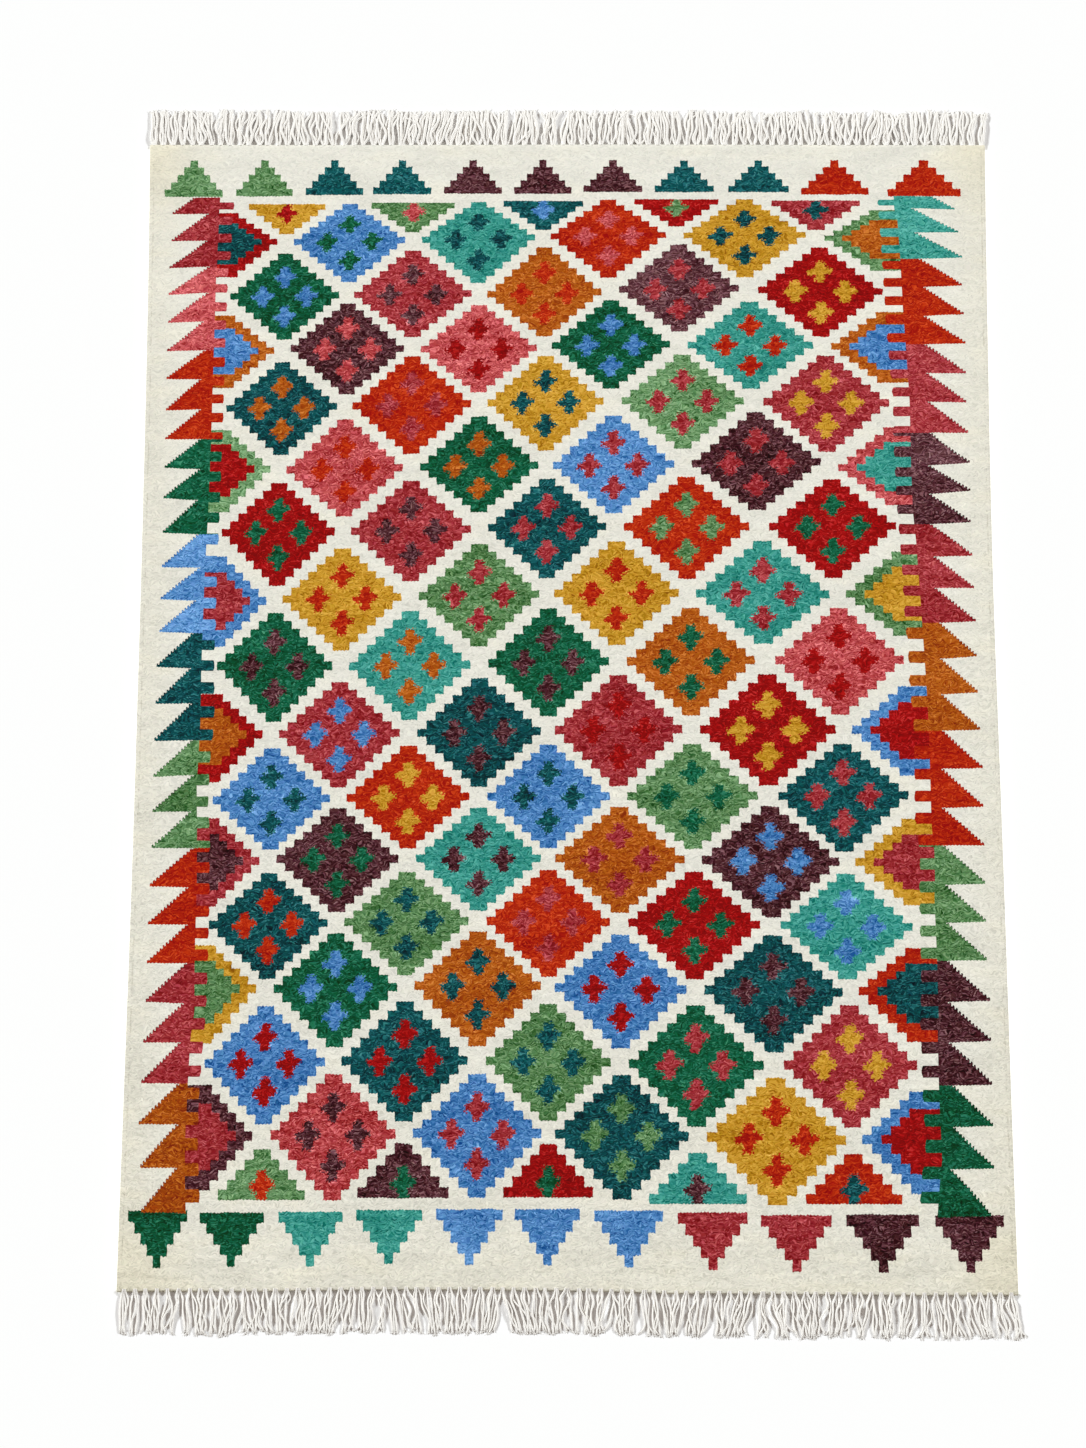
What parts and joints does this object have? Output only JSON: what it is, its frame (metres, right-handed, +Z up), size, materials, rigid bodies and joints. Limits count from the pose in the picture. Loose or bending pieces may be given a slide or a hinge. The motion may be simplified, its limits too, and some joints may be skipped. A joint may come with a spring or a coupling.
{
  "type": "dhurrie rug",
  "caption": "Flat-woven rectangular rug with a stepped-diamond lattice, serrated side borders and a warp fringe along both short ends.",
  "frame": {"origin": "middle of the underside: the bottom centre of the box of rug and fringes, on the floor", "axes": "+Z up, +X across the rug to the right seen from the foot, +Y along the length towards the head end, whose fringe is the shorter one"},
  "size_m": [1.2458, 1.9054, 0.0042],
  "materials": {
    "wool_weave": "matt",
    "cotton_warp": "matt"
  },
  "bodies": {
    "root": {"rug_cloth": "wool_weave", "fringe_head": "cotton_warp", "fringe_foot": "cotton_warp"}
  },
  "joints": []
}
